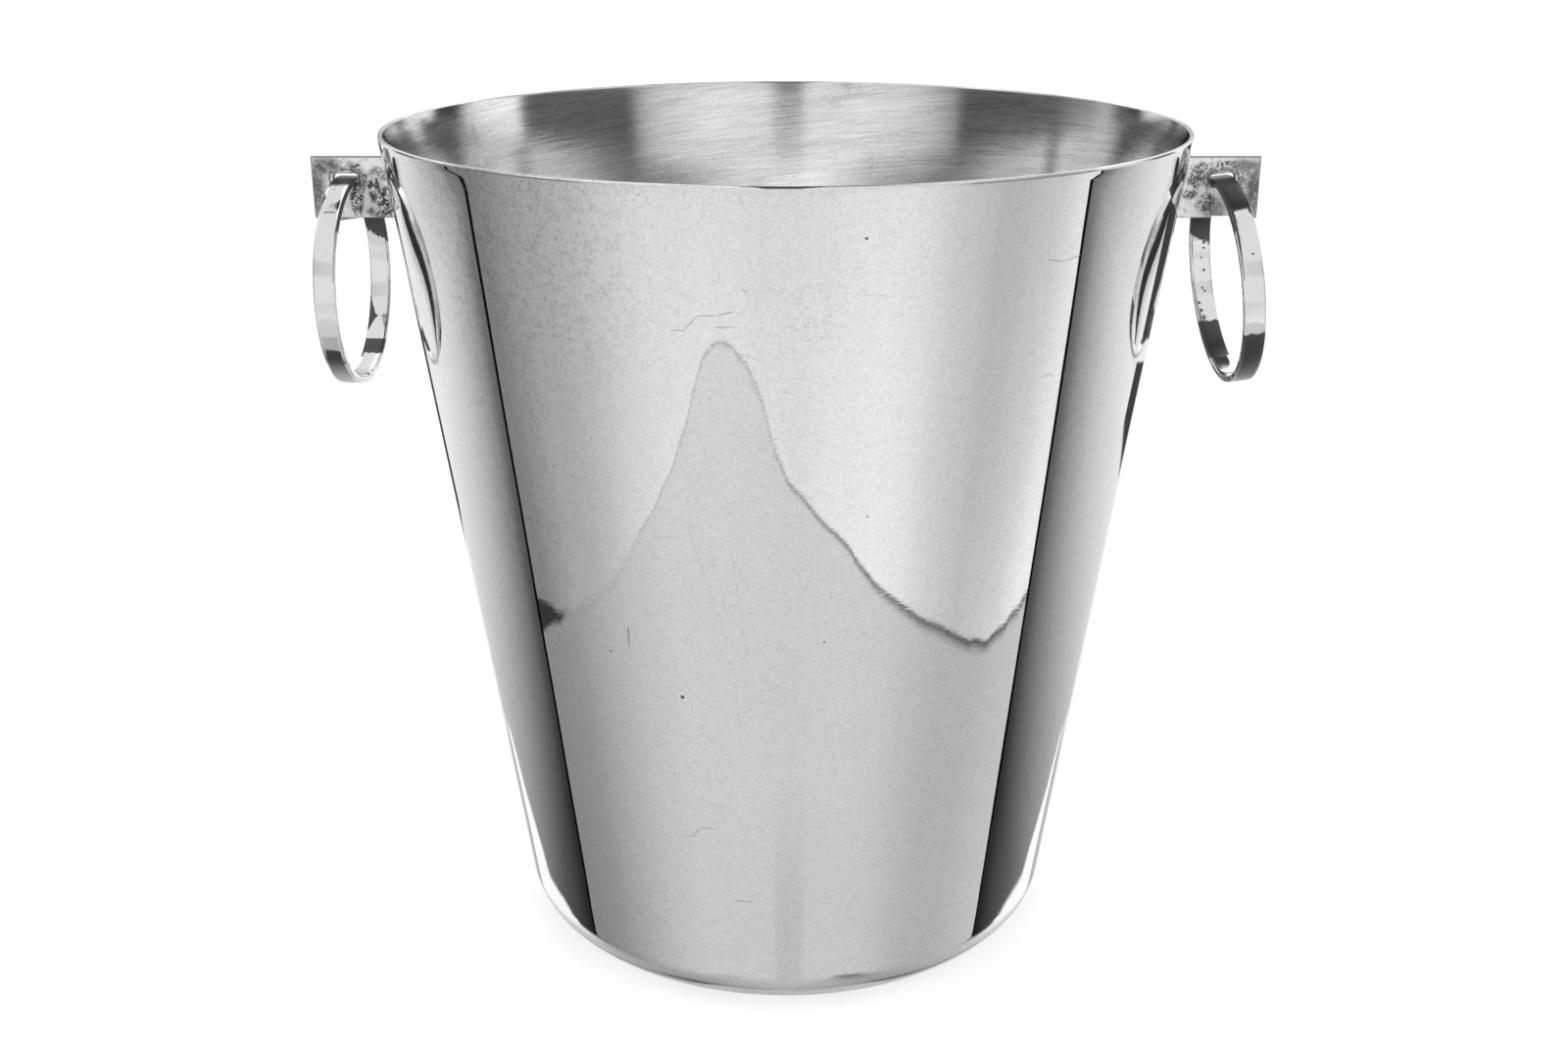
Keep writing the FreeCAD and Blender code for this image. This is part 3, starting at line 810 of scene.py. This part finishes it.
def ring_silver(side):
    """Polished strip with a worn skin: painted shade by the plate, painted dark reflections down it,
    specks, and hairlines along it.
    """
    material, s = new_material(side + "_ring_silver")
    position = s.add("ShaderNodeTexCoord").outputs["Object"]
    own_place = s.add("ShaderNodeAttribute", attribute_name="strip_mm").outputs["Vector"]
    across, y, z = s.split(own_place)
    radius = s.math("SQRT", s.plus(s.times(y, y), s.times(z, z)))
    inner = s.step(radius, RING_RADIUS - RING_THICKNESS * 0.4, RING_RADIUS - RING_THICKNESS * 0.6)
    turned = s.times(s.math("ARCTAN2", z, s.times(y, -1.0)), TO_DEGREES)
    turned = s.plus(turned, s.times(s.step(turned, -89.0, -91.0), 360.0))

    wear = s.noise(position, 140.0, detail=5.0, rough=0.65)
    grain = s.noise(position, 3000.0, detail=2.0, rough=0.7)
    ragged = s.times(s.minus(s.noise(own_place, 0.9, detail=4.0), 0.5), 9.0)
    along_strip = s.join(s.times(across, 5.0), s.times(y, 0.25), s.times(z, 0.25))
    hairlines = s.noise(along_strip, 1.0, detail=3.0, rough=0.7)

    # Painted shade where the strip passes through the plate, and painted dark reflection down the far inner
    # face.
    from_top = s.math("ABSOLUTE", s.minus(turned, 90.0))
    # Painted shade on the strip just round the top, where it enters the plate.
    painted_shade_at_plate = s.step(s.plus(from_top, s.times(ragged, 0.2)), 15.5, 14.0)
    # Painted dark reflection down the far inner face, ending at a ragged edge.
    painted_reflection_end = s.plus(180.0 - PAINTED_REFLECTION_EDGE[side], s.plus(ragged, s.times(across, 1.6)))
    painted_dark_reflection = s.times(s.step(turned, painted_reflection_end, s.minus(painted_reflection_end, 1.2)), s.step(turned, 95.0, 100.0))
    painted_dark_reflection = s.times(painted_dark_reflection, inner)
    # Further runs of painted dark reflection and painted shade.
    for start, end, on_inner, strength, end_strength in PAINTED_REFLECTION_RUNS[side]:
        run = s.between(s.plus(turned, s.times(ragged, 0.5)), start, end, 0.8)
        face = inner if on_inner else s.minus(1.0, inner)
        along_run = s.step(turned, start, end)
        depth = s.mix(along_run, strength / PAINTED_SHADE_DARKNESS, end_strength / PAINTED_SHADE_DARKNESS)
        painted_dark_reflection = s.math("MAXIMUM", painted_dark_reflection, s.times(s.times(run, face), depth))
    # The edge towards the wall carries painted dark reflection further down from the plate.
    wallward = s.times(across, -HANDLES[side]["sign"])
    painted_edge_reflection = s.times(s.step(wallward, 2.2, 2.5), s.between(s.plus(turned, ragged), 40.0, 130.0, 3.0))
    painted_dark_reflection = s.math("MAXIMUM", painted_dark_reflection, painted_edge_reflection)
    # A torn wedge of painted dark reflection on the left ring's far inner face.
    if side == "left":
        reach = s.profile(turned, TORN_PAINTED_REFLECTION)
        from_edge = s.times(s.plus(across, RING_WIDTH / 2), 0.25)
        wedge = s.step(s.plus(from_edge, s.times(ragged, 0.01)), s.plus(reach, 0.03), reach)
        wedge = s.times(s.times(wedge, inner), s.between(turned, 202.0, 225.0, 1.0))
        painted_dark_reflection = s.math("MAXIMUM", painted_dark_reflection, wedge)
    specks = 0.0
    for across_at, turned_at, size, on_inner in RING_SPECKS[side]:
        along = s.times(s.minus(turned, turned_at), math.radians(RING_RADIUS))
        gap = s.minus(across, across_at)
        distance = s.math("SQRT", s.plus(s.times(gap, gap), s.times(along, along)))
        distance = s.plus(distance, s.times(s.minus(grain, 0.5), 0.5))
        face = inner if on_inner else s.minus(1.0, inner)
        specks = s.math("MAXIMUM", specks, s.times(s.step(distance, size, size * 0.6), face))
    # Painted shade and painted dark reflections, then specks, set how much the tone darkens.
    dark = s.times(s.math("MAXIMUM", painted_shade_at_plate, painted_dark_reflection), PAINTED_SHADE_DARKNESS)
    dark = s.math("MAXIMUM", dark, s.times(specks, 0.8))

    normal = s.bump(wear, 0.00003)
    normal = s.bump(grain, 0.000002, normal=normal)
    normal = s.bump(hairlines, 0.000003, normal=normal)
    normal = s.bump(specks, 0.00005, normal=normal)
    tone = s.plus(s.mix(wear, 0.86, 0.96), s.times(s.minus(grain, 0.5), 0.12))
    tone = s.times(tone, s.minus(1.0, dark))
    roughness = s.plus(s.mix(wear, 0.09, 0.04), s.times(dark, 0.3))
    finish_metal(s, tone, roughness, normal)
    return material


# ---- Lugs ---------------------------------------------------------------------------------------
# Stains on each plate: (out from the axis, height), (half width, half height), strength, clear or mottled.
STAINS = {
    "left": [
        ((115.6, 201.4), (3.8, 2.2), 0.9, False), ((118.0, 195.0), (2.2, 8.0), 0.85, False),
        ((108.4, 193.6), (1.7, 4.6), 0.98, True), ((108.2, 200.8), (1.6, 1.4), 0.95, True),
        ((106.7, 198.0), (1.6, 2.8), 0.9, True), ((103.9, 196.0), (1.7, 4.0), 0.95, True),
        ((100.9, 192.2), (2.4, 4.4), 0.98, True), ((103.0, 189.8), (3.2, 1.3), 0.8, True),
        ((102.8, 199.2), (2.4, 2.0), 0.7, True), ((111.5, 201.9), (4.0, 1.2), 0.6, True),
    ],
    "right": [
        ((115.6, 201.6), (4.8, 1.6), 0.78, False), ((118.0, 195.0), (2.0, 8.0), 0.85, False),
        ((110.6, 201.5), (3.0, 1.5), 0.95, True), ((105.1, 200.6), (3.2, 1.8), 0.8, True),
        ((103.2, 197.9), (1.9, 2.6), 0.9, True), ((106.6, 198.7), (2.3, 2.2), 0.8, True),
        ((101.6, 194.4), (2.2, 1.2), 0.9, True), ((106.4, 192.3), (2.4, 2.4), 0.9, True),
        ((108.8, 190.6), (3.4, 3.0), 0.72, False), ((113.5, 198.5), (4.5, 3.5), 0.7, True),
    ],
}


def lug_silver(side):
    """Plate and keeper: dulled by the torch, stained and pitted round the soldering."""
    material, s = new_material(side + "_lug_silver")
    position, x, _, height = millimetres(s)
    out = s.math("ABSOLUTE", x)
    mottle = s.noise(position, 800.0, detail=6.0, rough=0.75, warp=0.8)
    fine = s.noise(position, 2400.0, detail=3.0, rough=0.7)
    drift = s.times(s.minus(s.noise(position, 300.0, detail=4.0), 0.5), 2.2)
    plane = s.join(s.plus(out, drift), s.plus(height, drift), 0.0)
    blotched = s.step(s.plus(mottle, s.times(s.minus(fine, 0.5), 0.25)), 0.44, 0.51)
    dark = s.times(s.step(mottle, 0.52, 0.62), 0.35)
    for place, size, strength, mottled in STAINS[side]:
        cover = s.times(s.blob(plane, place, size, soft=0.3 if mottled else 0.55), strength)
        share = 0.85 if mottled else 0.3
        cover = s.times(cover, s.plus(1 - share, s.times(blotched, share)))
        dark = s.math("MAXIMUM", dark, cover)
    dark = s.times(dark, s.plus(0.8, s.times(fine, 0.4)))
    # Tarnish sits along the plate's borders.
    border = s.math("MAXIMUM", s.step(out, 118.95, 119.2), s.step(height, 203.45, 203.65))
    border = s.math("MAXIMUM", border, s.step(height, 188.7, 188.5))
    dark = s.math("MAXIMUM", dark, s.times(border, 0.7))
    normal = s.bump(mottle, 0.00009)
    normal = s.bump(fine, 0.000012, normal=normal)
    tone = s.plus(s.minus(0.97, s.times(dark, 0.9)), s.times(s.minus(fine, 0.5), 0.18))
    finish_metal(s, s.math("MAXIMUM", tone, 0.03), s.plus(0.12, s.times(dark, 0.35)), normal)
    return material


def solder_silver():
    material, s = new_material("solder_silver")
    position = s.add("ShaderNodeTexCoord").outputs["Object"]
    lumps = s.noise(position, 2200.0, detail=5.0, rough=0.7, warp=0.8)
    pale = s.step(lumps, 0.44, 0.55)
    normal = s.bump(lumps, 0.00012)
    finish_metal(s, s.mix(pale, 0.2, 0.72), s.mix(pale, 0.5, 0.42), normal)
    return material


def dress_node(name, material):
    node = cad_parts[name]
    node.data.materials.clear()
    node.data.materials.append(material)


# Solder run round the notch's edge on a plate's face: (x, z) in mm from the hinge line, then the bead's
# half width there.
BEAD = [((-3.9, -2.4), 0.12), ((-4.0, -0.6), 0.28), ((-3.9, 1.2), 0.32), ((-4.1, 2.7), 0.42),
        ((-3.5, 4.0), 0.36), ((-2.3, 4.45), 0.42), ((-0.8, 4.35), 0.26), ((0.6, 4.5), 0.40),
        ((1.9, 4.35), 0.28), ((3.2, 4.1), 0.42), ((4.0, 3.1), 0.34), ((4.1, 1.4), 0.26), ((3.9, 0.0), 0.12)]
BEAD_RISE = 0.16              # how far it stands proud of the plate where it is widest
BEAD_WIDEST = 0.45
BEAD_ROOT = 0.2               # the deepest its underside may reach into the plate
BEAD_SINK = 0.02              # the whole bead sits in by this much
BEAD_STEPS = 120
BEAD_SIDES = 10


def eased(values, share):
    """A value part of the way along a list, with a smooth run between its entries."""
    place = share * (len(values) - 1)
    index = min(int(place), len(values) - 2)
    part = place - index
    before = values[max(index - 1, 0)]
    here, ahead = values[index], values[index + 1]
    after = values[min(index + 2, len(values) - 1)]
    return (here + (ahead - before) * part / 2 + (before - 2.5 * here + 2 * ahead - after / 2) * part ** 2
            + (1.5 * (here - ahead) + (after - before) / 2) * part ** 3)


def make_bead(side, handle, face, solder):
    """A lumpy bead on one face of the plate: face is -1 for the front, +1 for the back."""
    place = handle_frame(handle)
    xs = [at[0] * handle["sign"] for at, _ in BEAD]
    zs = [at[1] for at, _ in BEAD]
    widths = [width for _, width in BEAD]
    points = []
    faces = []
    for i in range(BEAD_STEPS + 1):
        share = i / BEAD_STEPS
        here = Vector((eased(xs, share), 0, eased(zs, share)))
        ahead = Vector((eased(xs, min(share + 0.01, 1)), 0, eased(zs, min(share + 0.01, 1))))
        back = Vector((eased(xs, max(share - 0.01, 0)), 0, eased(zs, max(share - 0.01, 0))))
        along = (ahead - back).normalized()
        beside = Vector((along.z, 0, -along.x))
        size = max(eased(widths, share), 0.05)
        for k in range(BEAD_SIDES):
            turn = 2 * math.pi * k / BEAD_SIDES
            lump = 1 + 0.7 * noise.noise(Vector((share * 40, turn * 0.9, 3 * face + handle["lean"])))
            proud = math.sin(turn) * BEAD_RISE * size / BEAD_WIDEST * lump
            point = here + beside * (math.cos(turn) * size * lump)
            point.y = face * (PLATE_THICKNESS / 2 + max(proud, -BEAD_ROOT) - BEAD_SINK)
            points.append(place @ (point * MM))
    for i in range(BEAD_STEPS):
        here, ahead = i * BEAD_SIDES, (i + 1) * BEAD_SIDES
        for k in range(BEAD_SIDES):
            m = (k + 1) % BEAD_SIDES
            faces.append((here + k, here + m, ahead + m, ahead + k))
    faces.append(tuple(range(BEAD_SIDES)))
    faces.append(tuple(BEAD_STEPS * BEAD_SIDES + k for k in range(BEAD_SIDES)))
    end = "front" if face < 0 else "back"
    bead = mesh_object(side + "_solder_bead_" + end, points, faces)
    bead.data.materials.append(solder)
    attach(bead, "bucket")


make_camera()
make_light_tent()
make_floor()
make_backdrop()
bpy.context.scene.view_settings.view_transform = "Standard"

make_bucket()
solder_material = solder_silver()
for side, handle in HANDLES.items():
    make_ring(side, handle)
    make_bead(side, handle, -1, solder_material)
    make_bead(side, handle, 1, solder_material)
    lug_material = lug_silver(side)
    dress_node(side + "_lug_plate", lug_material)
    dress_node(side + "_ring_keeper", lug_material)
    dress_node(side + "_lug_solder", solder_material)
